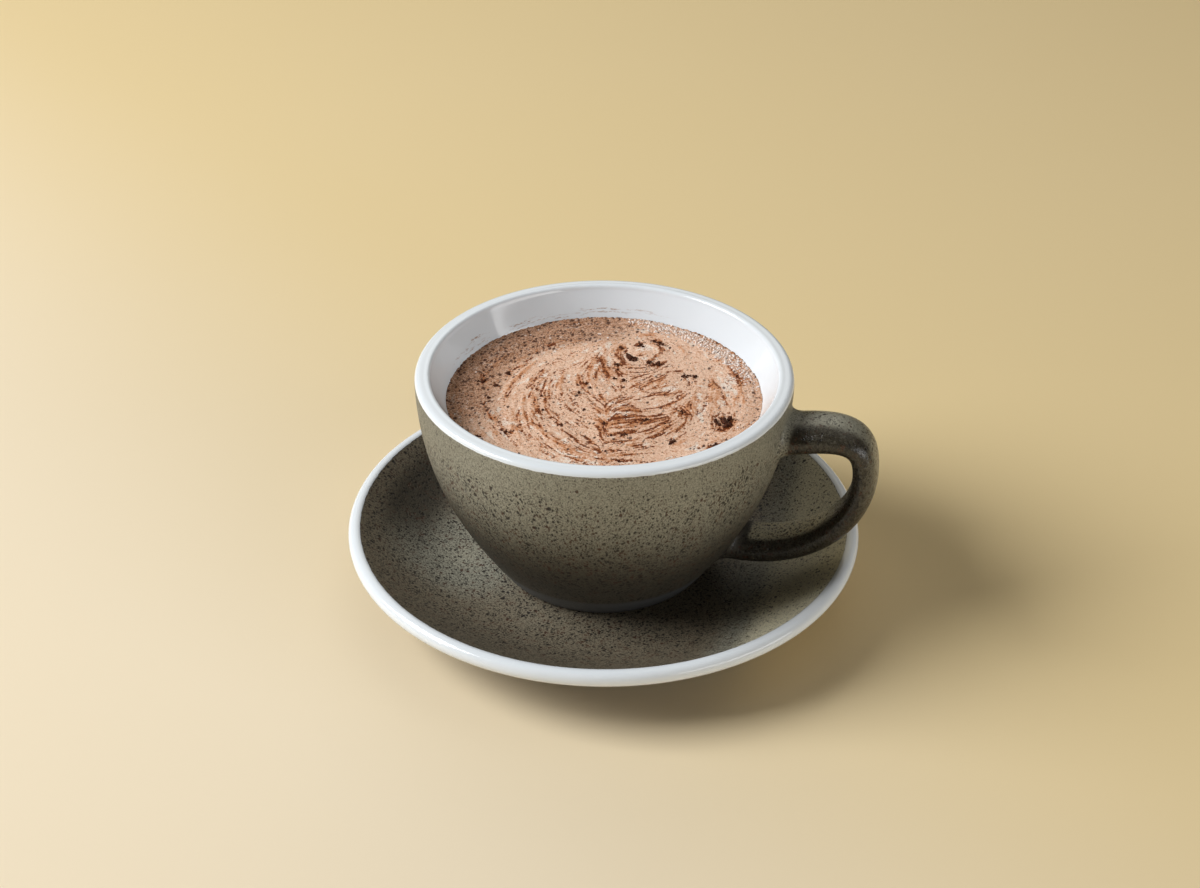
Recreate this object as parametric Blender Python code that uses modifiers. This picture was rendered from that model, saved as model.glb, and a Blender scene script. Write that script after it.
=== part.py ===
"""Caffe mocha in a thick stoneware cup on its saucer.

Metres, +Z up. The saucer's foot ring stands on z = 0, the handle points along +X,
and the origin is the middle of the footprint.
"""
import math

import bmesh
import bpy
from mathutils import Matrix, Vector

# Shared by the turned pieces: equal facets keep the gaps between them even.
TURN_STEPS = 64
GAP = 0.0003

# Saucer
SAUCER_RADIUS = 0.0775
SAUCER_LIP_HALF = 0.0024
SAUCER_LIP_Z = 0.0187
SAUCER_WALL_SLOPE = math.radians(33)
SAUCER_WALL_PULL = 0.0105
WELL_RADIUS = 0.0380
WELL_Z = 0.0065
SAUCER_FOOT_RADIUS = 0.0385
SAUCER_FOOT_WIDTH = 0.0040
SAUCER_RECESS = 0.0018

# Cup
CUP_LIP_RADIUS = 0.0526
CUP_LIP_HALF = 0.0026
CUP_LIP_Z = 0.0700
CUP_BELLY_PULLS = ((0.0547, 0.0430), (0.0445, 0.0260))
CUP_WAIST = (0.0322, 0.0082)
CUP_FOOT_RADIUS = 0.0315
CUP_FOOT_WIDTH = 0.0040
CUP_FOOT_ROUND = 0.0012
CUP_RECESS = 0.0015
CUP_FLOOR_Z = 0.0140
INNER_WALL_LEAN = math.radians(27.6)

# Handle: a strap with an oval section, in the plane y = 0. Places are (x, z) from the cup's axis.
HANDLE_TIP = (0.0782, 0.0491)
HANDLE_TIP_HALF = 0.0036
HANDLE_WIDTH_RATIO = 1.95
HANDLE_FILLET = 0.0035
HANDLE_SIDES = 16
UPPER_ROOT, UPPER_PULL, UPPER_TIP_RISE, UPPER_HALF = (0.0515, 0.0587), (0.0700, 0.0637), 0.0152, 0.0046
LOWER_ROOT, LOWER_PULL, LOWER_TIP_DROP, LOWER_HALF = (0.0360, 0.0200), (0.0632, 0.0165), 0.0145, 0.0041
LOWER_WALL_LEAN = math.radians(30)

# Drink
FOAM_Z = 0.0634
FOAM_RADIUS = 0.0462
FOAM_EDGE_ROUND = 0.0004
# Where the larger cocoa clumps lie, from the cup's axis, and half their width, in millimetres
CLUMPS = [
    (37, -5, 1.9), (2, 23, 1.4), (-2, 28, 0.9), (3, 31, 0.9), (8, 34, 1.0), (8, 22, 0.8),
    (11, 22, 0.9), (-1, 18, 0.8), (20, 17, 0.8), (23, 17, 0.9), (15, -10, 0.8), (11, -19, 0.8),
    (37, -18, 0.9), (25, -19, 0.9), (24, -3, 0.8), (4, -15, 0.7), (-31, 4, 0.8), (-37, -2, 0.9),
    (-32, -3, 0.8), (-22, -27, 0.9), (-29, -31, 0.8),
]
CLUMP_FLATNESS = 0.7
CLUMP_RISE = 0.18

# The handle reaches past the saucer, so the cup's axis stands a little beside the footprint's middle.
AXIS_X = (SAUCER_RADIUS - HANDLE_TIP[0] - HANDLE_TIP_HALF) / 2


def arc(centre, radius, start, end, steps):
    """Points on a circle from the angle start to the angle end."""
    points = []
    for i in range(steps + 1):
        angle = start + (end - start) * i / steps
        points.append((centre[0] + radius * math.cos(angle), centre[1] + radius * math.sin(angle)))
    return points


def bezier_at(p0, p1, p2, p3, t):
    """The point at t on a cubic Bezier in the (radius, z) plane."""
    a, b, c, d = (1 - t) ** 3, 3 * (1 - t) ** 2 * t, 3 * (1 - t) * t ** 2, t ** 3
    return tuple(a * p0[k] + b * p1[k] + c * p2[k] + d * p3[k] for k in range(2))


def bezier(p0, p1, p2, p3, steps):
    """Points on a cubic Bezier, both ends included."""
    return [bezier_at(p0, p1, p2, p3, i / steps) for i in range(steps + 1)]


def joined(*runs):
    """Chains runs of points, dropping a point that repeats the last one."""
    chain = []
    for run in runs:
        for point in run:
            if not chain or math.dist(point, chain[-1]) > 1e-6:
                chain.append(point)
    return chain


def material(name, colour, roughness):
    mat = bpy.data.materials.new(name)
    mat.use_nodes = True
    shader = mat.node_tree.nodes["Principled BSDF"]
    shader.inputs["Base Color"].default_value = (*colour, 1)
    shader.inputs["Roughness"].default_value = roughness
    shader.inputs["Metallic"].default_value = 0
    return mat


def turned(name, profile, collection, mat):
    """A solid of revolution. The profile (radius, z) starts and ends on the axis."""
    mesh = bpy.data.meshes.new(name)
    edges = [(i, i + 1) for i in range(len(profile) - 1)]
    mesh.from_pydata([(radius, 0, z) for radius, z in profile], edges, [])
    mesh.materials.append(mat)
    obj = bpy.data.objects.new(name, mesh)
    collection.objects.link(obj)
    screw = obj.modifiers.new("Turn", "SCREW")
    screw.steps = screw.render_steps = TURN_STEPS
    screw.use_merge_vertices = True
    screw.merge_threshold = 0.00001
    screw.use_smooth_shade = True
    return obj


def fuse(obj, extras):
    """Joins a collection of closed pieces onto obj with one Boolean union, and applies it."""
    union = obj.modifiers.new("Fuse", "BOOLEAN")
    union.operation = "UNION"
    union.solver = "EXACT"
    union.operand_type = "COLLECTION"
    union.collection = extras
    bpy.context.view_layer.update()
    depsgraph = bpy.context.evaluated_depsgraph_get()
    mesh = bpy.data.meshes.new_from_object(obj.evaluated_get(depsgraph))
    mesh.shade_smooth()
    mesh.set_sharp_from_angle(angle=math.radians(40))
    obj.modifiers.clear()
    obj.data = mesh
    for piece in list(extras.objects):
        bpy.data.objects.remove(piece)
    bpy.data.collections.remove(extras)


def saucer(collection):
    """A shallow dish: a flat well, a rising wall with a round lip, and a foot ring."""
    quarter = math.pi / 2
    lip_centre = (SAUCER_RADIUS - SAUCER_LIP_HALF, SAUCER_LIP_Z)
    lip = arc(lip_centre, SAUCER_LIP_HALF, SAUCER_WALL_SLOPE + quarter, SAUCER_WALL_SLOPE - quarter, 8)
    pull_x = SAUCER_WALL_PULL * math.cos(SAUCER_WALL_SLOPE)
    pull_z = SAUCER_WALL_PULL * math.sin(SAUCER_WALL_SLOPE)
    top_pull = (lip[0][0] - pull_x, lip[0][1] - pull_z)
    under_pull = (lip[-1][0] - pull_x, lip[-1][1] - pull_z)
    top = bezier((WELL_RADIUS, WELL_Z), (WELL_RADIUS + 0.0160, WELL_Z), top_pull, lip[0], 7)
    shoulder = (SAUCER_FOOT_RADIUS + 0.0025, SAUCER_RECESS)
    under = bezier(lip[-1], under_pull, (shoulder[0] + 0.0160, shoulder[1]), shoulder, 5)
    foot_in = SAUCER_FOOT_RADIUS - SAUCER_FOOT_WIDTH
    foot = [
        (SAUCER_FOOT_RADIUS + 0.0003, 0.0004),
        (SAUCER_FOOT_RADIUS, 0),
        (foot_in, 0),
        (foot_in - 0.0010, SAUCER_RECESS),
        (0, SAUCER_RECESS),
    ]
    profile = joined([(0, WELL_Z)], top, lip, under, foot)
    return turned("saucer", profile, collection, material("saucer_glaze", (0.11, 0.10, 0.075), 0.4))


def cup_inside(shrink):
    """The cup's inside from its lip to the middle of its floor, moved inward by shrink."""
    down = (-math.sin(INNER_WALL_LEAN), -math.cos(INNER_WALL_LEAN))
    lip = (CUP_LIP_RADIUS + CUP_LIP_HALF * down[1], CUP_LIP_Z - CUP_LIP_HALF * down[0])
    level = (FOAM_RADIUS, FOAM_Z)
    level_pull = (level[0] + 0.0025 * down[0], level[1] + 0.0025 * down[1])
    waist = (FOAM_RADIUS - 0.0010, 0.0520)
    neck = bezier(level, level_pull, (waist[0], 0.0570), waist, 3)
    bowl = bezier(waist, (waist[0], 0.0310), (0.0290, CUP_FLOOR_Z), (0, CUP_FLOOR_Z), 8)
    return [(max(radius - shrink, 0), z + shrink) for radius, z in joined([lip, level], neck, bowl)]


def cup_outside():
    """The cup's outside from its lip down to its foot."""
    lip_side = (CUP_LIP_RADIUS + CUP_LIP_HALF, CUP_LIP_Z)
    return bezier(lip_side, *CUP_BELLY_PULLS, CUP_WAIST, 11)


def cup_body(collection):
    """A round-bellied cup with a thick round lip, standing on a low foot ring."""
    foot_z = WELL_Z + GAP
    lip = arc((CUP_LIP_RADIUS, CUP_LIP_Z), CUP_LIP_HALF, math.pi - INNER_WALL_LEAN, 0, 8)
    foot_centre = (CUP_FOOT_RADIUS - CUP_FOOT_ROUND, foot_z + CUP_FOOT_ROUND)
    foot = arc(foot_centre, CUP_FOOT_ROUND, math.radians(-20), math.radians(-90), 3)
    foot_in = CUP_FOOT_RADIUS - CUP_FOOT_WIDTH
    under = [(foot_in, foot_z), (foot_in - 0.0010, foot_z + CUP_RECESS), (0, foot_z + CUP_RECESS)]
    profile = joined(reversed(cup_inside(0)), lip, cup_outside(), foot, under)
    return turned("cup", profile, collection, material("cup_glaze", (0.15, 0.14, 0.11), 0.4))


def wall_radius(z):
    """The cup's outer radius at a height."""
    outside = cup_outside()
    for (r0, z0), (r1, z1) in zip(outside, outside[1:]):
        if z1 <= z <= z0:
            return r0 + (r1 - r0) * (z0 - z) / (z0 - z1)
    return outside[0][0] if z > outside[0][1] else outside[-1][0]


def fillet(point, wall_lean):
    """How far the strap swells at a point near the wall: a quarter round that runs into it."""
    wall_x = math.sqrt(max(wall_radius(point.z) ** 2 - point.y ** 2, 0))
    clear = max(point.x - wall_x, 0) * math.cos(wall_lean)
    if clear >= HANDLE_FILLET:
        return 0
    return HANDLE_FILLET * (1 - math.sqrt(1 - (1 - clear / HANDLE_FILLET) ** 2))


def arm(root, pull, tip_pull, root_half, wall_lean, heading, count):
    """Rings of an arm of the strap, from its root inside the wall to the tip, closer near the root."""
    rings = []
    for i in range(count + 1):
        t = (i / count) ** 1.25
        x, z = bezier_at(root, pull, tip_pull, HANDLE_TIP, t)
        ahead = bezier_at(root, pull, tip_pull, HANDLE_TIP, t + 0.001)
        along = Vector((ahead[0] - x, 0, ahead[1] - z)).normalized() * heading
        across = Vector((along.z, 0, -along.x))
        half = root_half + (HANDLE_TIP_HALF - root_half) * t * t * (3 - 2 * t)
        ring = []
        for k in range(HANDLE_SIDES):
            angle = 2 * math.pi * k / HANDLE_SIDES
            out = across * math.cos(angle)
            side = Vector((0, math.sin(angle), 0))
            point = Vector((x, 0, z)) + out * half + side * half * HANDLE_WIDTH_RATIO
            ring.append(point + (out + side) * fillet(point, wall_lean))
        rings.append(ring)
    return rings


def handle(collection):
    """A strap loop lofted through its rings, from the upper root round the tip to the lower root."""
    above_tip = (HANDLE_TIP[0], HANDLE_TIP[1] + UPPER_TIP_RISE)
    below_tip = (HANDLE_TIP[0], HANDLE_TIP[1] - LOWER_TIP_DROP)
    upper = arm(UPPER_ROOT, UPPER_PULL, above_tip, UPPER_HALF, 0, 1, 12)
    lower = arm(LOWER_ROOT, LOWER_PULL, below_tip, LOWER_HALF, LOWER_WALL_LEAN, -1, 14)
    work = bmesh.new()
    rings = [[work.verts.new(point) for point in ring] for ring in upper + lower[-2::-1]]
    for near, far in zip(rings, rings[1:]):
        for k in range(HANDLE_SIDES):
            after = (k + 1) % HANDLE_SIDES
            work.faces.new((near[k], near[after], far[after], far[k]))
    work.faces.new(rings[0])
    work.faces.new(rings[-1])
    bmesh.ops.recalc_face_normals(work, faces=work.faces)
    mesh = bpy.data.meshes.new("handle")
    work.to_mesh(mesh)
    work.free()
    collection.objects.link(bpy.data.objects.new("handle", mesh))


def clump(number, x, y, half, collection):
    """A low, uneven lump of cocoa, sunk a little into the foam."""
    work = bmesh.new()
    bmesh.ops.create_uvsphere(work, u_segments=6, v_segments=4, radius=half)
    for vert in work.verts:
        swell = 1 + 0.16 * math.sin(7 * number + 900 * vert.co.x + 1400 * vert.co.y)
        vert.co = Vector((vert.co.x * swell, vert.co.y * swell * 0.85, vert.co.z * CLUMP_FLATNESS))
    bmesh.ops.rotate(work, verts=work.verts, matrix=Matrix.Rotation(1.3 * number, 3, "Z"))
    bmesh.ops.translate(work, verts=work.verts, vec=(x, y, FOAM_Z + CLUMP_RISE * half))
    mesh = bpy.data.meshes.new(f"clump_{number}")
    work.to_mesh(mesh)
    work.free()
    collection.objects.link(bpy.data.objects.new(f"clump_{number}", mesh))


def drink(collection):
    """The drink up to its foam, shaped by the cup's inside."""
    side = cup_inside(GAP)[1:]
    level = side[0]
    top = [(0, FOAM_Z), (level[0] - FOAM_EDGE_ROUND, FOAM_Z), (level[0], FOAM_Z - FOAM_EDGE_ROUND)]
    profile = joined(top, [point for point in side if point[1] < top[-1][1]])
    return turned("drink", profile, collection, material("mocha", (0.42, 0.22, 0.13), 0.55))


def new_collection(name):
    collection = bpy.data.collections.new(name)
    bpy.context.scene.collection.children.link(collection)
    return collection


def main():
    for obj in list(bpy.data.objects):
        bpy.data.objects.remove(obj)
    collection = new_collection("caffe mocha")

    dish = saucer(collection)
    cup = cup_body(collection)
    loops = new_collection("loops")
    handle(loops)
    fuse(cup, loops)

    mocha = drink(collection)
    clumps = new_collection("clumps")
    for number, (x, y, half) in enumerate(CLUMPS):
        clump(number, x / 1000, y / 1000, half / 1000, clumps)
    fuse(mocha, clumps)

    axis = bpy.data.objects.new("axis", None)
    axis.location.x = AXIS_X
    collection.objects.link(axis)
    for obj in (dish, cup, mocha):
        obj.parent = axis


main()
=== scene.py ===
import math

import bmesh
import bpy
import numpy as np
from mathutils import Matrix, Vector


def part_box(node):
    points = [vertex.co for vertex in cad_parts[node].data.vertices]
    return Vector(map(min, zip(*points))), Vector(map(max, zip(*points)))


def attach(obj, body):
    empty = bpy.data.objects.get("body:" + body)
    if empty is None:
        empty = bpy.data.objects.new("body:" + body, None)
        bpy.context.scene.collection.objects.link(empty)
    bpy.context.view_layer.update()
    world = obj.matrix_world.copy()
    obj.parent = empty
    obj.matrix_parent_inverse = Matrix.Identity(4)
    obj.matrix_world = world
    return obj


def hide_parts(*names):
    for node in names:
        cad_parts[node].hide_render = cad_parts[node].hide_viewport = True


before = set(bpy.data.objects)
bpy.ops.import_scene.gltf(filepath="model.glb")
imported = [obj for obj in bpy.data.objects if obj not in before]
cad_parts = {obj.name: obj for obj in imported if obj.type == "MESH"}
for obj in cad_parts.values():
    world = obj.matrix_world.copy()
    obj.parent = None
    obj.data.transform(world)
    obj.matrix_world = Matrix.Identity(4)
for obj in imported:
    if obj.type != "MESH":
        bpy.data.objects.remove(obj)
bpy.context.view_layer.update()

# ---------------------------------------------------------------------------
# Saucer
# A shallow stoneware dish with a flat well, a rising wall and a round lip, made
# in one piece and turned here from one profile. A satin grey-olive glaze with
# burnt specks covers it, and its lip is dipped in glossy white glaze.
# ---------------------------------------------------------------------------
MM = 0.001
TURN_STEPS = 256
QUARTER = math.pi / 2

SAUCER_RADIUS = 77.5 * MM
SAUCER_LIP_HALF = 2.4 * MM
SAUCER_LIP_Z = 18.7 * MM
SAUCER_WALL_SLOPE = math.radians(33)
SAUCER_WALL_PULL = 10.5 * MM
WELL_RADIUS = 38.0 * MM
WELL_Z = 6.5 * MM
WELL_PULL = 16.0 * MM
SAUCER_FOOT_RADIUS = 38.5 * MM
SAUCER_FOOT_WIDTH = 4.0 * MM
SAUCER_FOOT_ROUND = 0.5 * MM
SAUCER_SHOULDER = 2.5 * MM
SAUCER_RECESS = 1.8 * MM
RECESS_SLOPE = 1.0 * MM

saucer_low, saucer_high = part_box("saucer")
AXIS_X = (saucer_low.x + saucer_high.x) / 2


def arc(centre, radius, start, end, steps):
    """Points on a circle from the angle start to the angle end."""
    angles = [start + (end - start) * i / steps for i in range(steps + 1)]
    return [(centre[0] + radius * math.cos(a), centre[1] + radius * math.sin(a)) for a in angles]


def squared_lip(centre, half, stops, bulge, steps):
    """Points round a lip through the angles in stops, squared off by a bulge between each two of them."""
    points = []
    for start, end in zip(stops, stops[1:]):
        for i in range(steps + 1):
            angle = start + (end - start) * i / steps
            reach = half * (1 + bulge * math.sin(math.pi * i / steps) ** 2)
            points.append((centre[0] + reach * math.cos(angle), centre[1] + reach * math.sin(angle)))
    return points


def bezier_at(points, t):
    """The point at t on a cubic Bezier in the (radius, z) plane."""
    shares = ((1 - t) ** 3, 3 * (1 - t) ** 2 * t, 3 * (1 - t) * t ** 2, t ** 3)
    return tuple(sum(share * point[k] for share, point in zip(shares, points)) for k in range(2))


def bezier(points, steps):
    """Points on a cubic Bezier, both ends included."""
    return [bezier_at(points, i / steps) for i in range(steps + 1)]


def straight(start, end, steps):
    """Points on a straight line, both ends included."""
    return [tuple(a + (b - a) * i / steps for a, b in zip(start, end)) for i in range(steps + 1)]


def joined(*runs):
    """Chains runs of points, dropping a point that repeats the last one."""
    chain = []
    for run in runs:
        for point in run:
            if not chain or math.dist(point, chain[-1]) > 1e-6:
                chain.append(point)
    return chain


def turned(profile):
    """A closed solid of revolution. The profile (radius, z) starts and ends on the axis."""
    work = bmesh.new()
    turns = [2 * math.pi * k / TURN_STEPS for k in range(TURN_STEPS)]
    first = work.verts.new((AXIS_X, 0, profile[0][1]))
    last = work.verts.new((AXIS_X, 0, profile[-1][1]))
    rings = []
    for radius, z in profile[1:-1]:
        spots = [(AXIS_X + radius * math.cos(a), radius * math.sin(a), z) for a in turns]
        rings.append([work.verts.new(spot) for spot in spots])
    for k in range(TURN_STEPS):
        after = (k + 1) % TURN_STEPS
        work.faces.new((first, rings[0][k], rings[0][after]))
        work.faces.new((last, rings[-1][after], rings[-1][k]))
        for near, far in zip(rings, rings[1:]):
            work.faces.new((near[k], far[k], far[after], near[after]))
    bmesh.ops.recalc_face_normals(work, faces=work.faces)
    return work


def placed(name, data):
    """A new object at the origin, made of a mesh, a lamp or a lens."""
    thing = bpy.data.objects.new(name, data)
    bpy.context.scene.collection.objects.link(thing)
    return thing


def finished(name, work, material):
    """Turns a bmesh into a smooth piece at the origin, with its material."""
    mesh = bpy.data.meshes.new(name)
    work.to_mesh(mesh)
    work.free()
    mesh.shade_smooth()
    mesh.materials.append(material)
    return placed(name, mesh)


class Value:
    """A socket that Python arithmetic works on: each operation adds its node to the same tree."""

    def __init__(self, socket):
        self.socket = socket

    def node(self, kind, settings, sockets, output=0):
        """Adds a node of a kind: its settings first, then its sockets' values or links."""
        tree = self.socket.id_data
        made = tree.nodes.new(kind)
        for key, setting in settings.items():
            setattr(made, key, setting)
        for key, value in sockets.items():
            if isinstance(value, Value):
                tree.links.new(value.socket, made.inputs[key])
            else:
                made.inputs[key].default_value = value
        return Value(made.outputs[output])

    def also(self, output):
        """Another output of the same node."""
        return Value(self.socket.node.outputs[output])

    def maths(self, operation, *values):
        sockets = dict(enumerate((self, *values)))
        return self.node("ShaderNodeMath", {"operation": operation}, sockets)

    def vector(self, operation, sockets):
        """Vector maths on a position, with the operation's other sockets."""
        return self.node("ShaderNodeVectorMath", {"operation": operation}, {0: self, **sockets})

    def __add__(self, other):
        return self.maths("ADD", other)

    def __mul__(self, other):
        return self.maths("MULTIPLY", other)

    def __sub__(self, other):
        return self.maths("SUBTRACT", other)

    def __rsub__(self, other):
        return self * -1 + other

    __radd__ = __add__
    __rmul__ = __mul__

    def step(self, low, high):
        """0 below low, 1 above high, with an easy slope between."""
        sockets = {"Value": self, "From Min": low, "From Max": high}
        return self.node("ShaderNodeMapRange", {"interpolation_type": "SMOOTHSTEP"}, sockets)

    def fall(self, low, high):
        """1 below low, 0 above high, with an easy slope between."""
        return 1 - self.step(low, high)

    def between(self, first, second):
        """Mixes two colours: the first where this is 0, the second where it is 1."""
        return self.node("ShaderNodeMix", {"data_type": "RGBA"}, {0: self, 6: first, 7: second}, 2)

    def parts(self):
        """The X, Y and Z of a vector, or the red, green and blue of a colour."""
        x = self.node("ShaderNodeSeparateXYZ", {}, {0: self})
        return x, x.also(1), x.also(2)

    def noise(self, size, detail=2.0, roughness=0.5):
        """Soft noise over a position, with lumps of about this size."""
        sockets = {"Vector": self, "Scale": 1 / size, "Detail": detail, "Roughness": roughness}
        return self.node("ShaderNodeTexNoise", {}, sockets)

    def shaken(self, size, reach):
        """A position moved about by noise, which makes round things uneven."""
        drift = self.noise(size).also("Color").vector("SUBTRACT", {1: (0.5,) * 3})
        return self.vector("ADD", {1: drift.vector("SCALE", {"Scale": reach})})

    def spots(self, spacing, size, share):
        """Spots on a loose grid: their mean radius in spacings, and the share of places that have one."""
        cell = self.node("ShaderNodeTexVoronoi", {}, {"Vector": self, "Scale": 1 / spacing}, "Distance")
        chance, girth, _ = cell.also("Color").parts()
        there = (share - chance).step(0, 0.04)
        return there * (size * 0.5 + girth * size - cell).step(0, size * 0.6)


def finish(name, paint, shine=0.5):
    """A Principled material. paint(position) gives its colour, its roughness and its relief in mm."""
    material = bpy.data.materials.new(name)
    material.use_nodes = True
    tree = material.node_tree
    shader = tree.nodes["Principled BSDF"]
    place = Value(tree.nodes.new("ShaderNodeTexCoord").outputs["Object"])
    colour, roughness, relief = paint(place)
    bump = place.node("ShaderNodeBump", {}, {"Height": relief, "Distance": MM, "Strength": 1.0})
    for key, value in {"Base Color": colour, "Roughness": roughness, "Normal": bump}.items():
        tree.links.new(value.socket, shader.inputs[key])
    shader.inputs["Specular IOR Level"].default_value = shine
    return material


# The first colour is the pale glaze painted where light falls, as painted light. The soot colour also
# serves as painted shade.
GLAZE_PAINTED_LIGHT = (0.82, 0.75, 0.53, 1)
GLAZE_PALE = (0.328, 0.316, 0.247, 1)
GLAZE_DEEP = (0.235, 0.196, 0.134, 1)
GLAZE_GRAIN = (0.078, 0.064, 0.044, 1)
GLAZE_SOOT_AND_SHADE = (0.036, 0.030, 0.020, 1)
SPECK_BLACK = (0.016, 0.012, 0.009, 1)
SPECK_RUST = (0.060, 0.026, 0.014, 1)
GLAZE_WHITE = (0.825, 0.865, 0.905, 1)
GLAZE_BREAK = (0.13, 0.085, 0.055, 1)
SPECK_SQUEEZE = (1, 1, 0.72)
# The middle of the patch in the saucer's well that is painted paler as painted light.
LIT_PATCH_X = -47 * MM
LIT_PATCH_Y = -14 * MM


def speckled_glaze(place, white, tone, burnt, soot_and_shade):
    """Satin glaze: deeper by tone, and painted pale as painted light where tone is below 0; darker by soot
    and painted shade, with more specks where it is burnt. White covers it.
    """
    drift = place.noise(11 * MM) - 0.5
    grain = place.noise(0.5 * MM, 3.0, 0.65)
    loose = place.vector("MULTIPLY", {1: SPECK_SQUEEZE}).shaken(0.5 * MM, 0.5 * MM)
    crowd = burnt + drift * 0.9
    coarse = loose.spots(1.6 * MM, 0.28, crowd * 0.8)
    fine = loose.spots(0.85 * MM, 0.40, crowd * 1.3)
    dots = loose.spots(0.5 * MM, 0.45, crowd * 0.9 + 0.3)
    specks = place.noise(3 * MM).step(0.5, 0.62).between(SPECK_BLACK, SPECK_RUST)
    colour = tone.step(-1, 0).between(GLAZE_PAINTED_LIGHT, GLAZE_PALE)
    colour = (tone + drift * 0.4).step(0, 1).between(colour, GLAZE_DEEP)
    grainy = grain.step(0.40, 0.64) * (0.25 + tone.step(-1, 0) * 0.35)
    colour = grainy.between(colour, GLAZE_GRAIN)
    colour = soot_and_shade.between(colour, GLAZE_SOOT_AND_SHADE)
    colour = (dots * 0.7).between(colour, specks)
    colour = (fine * 0.9).between(colour, specks)
    colour = (coarse * 0.95).between(colour, specks)
    seam = white * (1 - white) * 4
    colour = white.between(colour, GLAZE_WHITE)
    colour = (seam * place.noise(1.5 * MM).step(0.4, 0.6) * 0.9).between(colour, GLAZE_BREAK)
    roughness = (0.40 + grain * 0.16) * (1 - white) + white * 0.11
    relief = (grain * 0.07 - coarse * 0.08 - fine * 0.04) * (1 - white) + white * 0.12 + drift * 0.12
    return colour, roughness, relief


def distance(x, y):
    """How far a place lies from where x and y are 0."""
    return (x * x + y * y).maths("SQRT")


def from_axis(place):
    """The distance from the axis that the cup and the saucer share, and the height."""
    x, y, z = place.parts()
    return distance(x - AXIS_X, y), z


def saucer_paint(place):
    radius, z = from_axis(place.shaken(3 * MM, 0.35 * MM))
    out = radius - (SAUCER_RADIUS - SAUCER_LIP_HALF)
    up = z - SAUCER_LIP_Z
    along = out * math.cos(SAUCER_WALL_SLOPE) + up * math.sin(SAUCER_WALL_SLOPE)
    under = (out * math.sin(SAUCER_WALL_SLOPE) - up * math.cos(SAUCER_WALL_SLOPE)).step(0, 0.5 * MM)
    white = (along + under * (1.5 * MM)).step(-0.15 * MM, 0.15 * MM)

    # The right side and a patch in the well at the left are painted paler as painted light, where light
    # falls on them. Painted shade darkens the wall at the left near the cup, and the front wall is darker.
    x, y, _ = place.parts()
    from_well = radius - WELL_RADIUS
    wall = from_well.step(0, 22 * MM)
    painted_light_right = x.step(34 * MM, 56 * MM)
    painted_light_patch = distance(x - LIT_PATCH_X, y - LIT_PATCH_Y).fall(2 * MM, 34 * MM)
    past_middle = from_well.step(10 * MM, 20 * MM) * from_well.fall(28 * MM, 34 * MM)
    painted_shade_wall = past_middle * x.fall(-62 * MM, -40 * MM) * y.step(-30 * MM, 0)
    front_wall = wall * y.fall(-62 * MM, -35 * MM)
    tone = 0.85 + wall * 0.25 - painted_light_right * 1.8 - painted_light_patch * 1.1
    burnt = 1.3 - wall * 0.25 - painted_light_right * 0.85 - painted_light_patch * 0.4
    return speckled_glaze(place, white, tone, burnt, painted_shade_wall * 0.8 + front_wall * 0.22)


def saucer_profile():
    lip_centre = (SAUCER_RADIUS - SAUCER_LIP_HALF, SAUCER_LIP_Z)
    lip = arc(lip_centre, SAUCER_LIP_HALF, SAUCER_WALL_SLOPE + QUARTER, SAUCER_WALL_SLOPE - QUARTER, 28)
    pull = (SAUCER_WALL_PULL * math.cos(SAUCER_WALL_SLOPE), SAUCER_WALL_PULL * math.sin(SAUCER_WALL_SLOPE))
    top_pull = (lip[0][0] - pull[0], lip[0][1] - pull[1])
    under_pull = (lip[-1][0] - pull[0], lip[-1][1] - pull[1])
    well = (WELL_RADIUS, WELL_Z)
    top = bezier((well, (WELL_RADIUS + WELL_PULL, WELL_Z), top_pull, lip[0]), 40)
    shoulder = (SAUCER_FOOT_RADIUS + SAUCER_SHOULDER, SAUCER_RECESS)
    under = bezier((lip[-1], under_pull, (shoulder[0] + WELL_PULL, shoulder[1]), shoulder), 30)
    foot_in = SAUCER_FOOT_RADIUS - SAUCER_FOOT_WIDTH
    small = SAUCER_FOOT_ROUND
    outer = arc((SAUCER_FOOT_RADIUS - small, small), small, 0, -QUARTER, 5)
    inner = arc((foot_in + small, small), small, -QUARTER, -math.pi, 5)
    hollow = straight((foot_in - RECESS_SLOPE, SAUCER_RECESS), (0, SAUCER_RECESS), 8)
    return joined(straight((0, WELL_Z), well, 12), top, lip, under, outer, inner, hollow)


saucer = finished("saucer_glazed", turned(saucer_profile()), finish("saucer_glaze", saucer_paint))
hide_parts("saucer")
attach(saucer, "root")

# ---------------------------------------------------------------------------
# Cup
# A round-bellied stoneware cup with a thick wall, a softly squared lip and a strap
# handle that was pulled, bent and luted to the wall while leather-hard. White glaze
# covers the inside and the lip, the speckled glaze the rest but for the foot.
# ---------------------------------------------------------------------------
CUP_LIP_RADIUS = 52.6 * MM
CUP_LIP_HALF = 2.6 * MM
CUP_LIP_BULGE = 0.14
CUP_LIP_Z = 70.0 * MM
CUP_BELLY_PULLS = ((54.7 * MM, 43.0 * MM), (44.5 * MM, 26.0 * MM))
CUP_WAIST = (32.2 * MM, 8.2 * MM)
CUP_FOOT_Z = 6.8 * MM
CUP_FOOT_RADIUS = 31.5 * MM
CUP_FOOT_WIDTH = 4.0 * MM
CUP_FOOT_ROUND = 1.2 * MM
CUP_RECESS = 1.5 * MM
CUP_FLOOR_Z = 14.0 * MM
INNER_WALL_LEAN = math.radians(27.6)
GLAZE_LINE = math.radians(24)
FOAM_Z = 63.4 * MM
FOAM_RADIUS = 46.2 * MM
FOAM_LEVEL_PULL = 2.5 * MM
NECK = (45.2 * MM, 52.0 * MM)
NECK_PULL = 5.0 * MM
BOWL_PULLS = ((45.2 * MM, 31.0 * MM), (29.0 * MM, CUP_FLOOR_Z))

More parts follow.
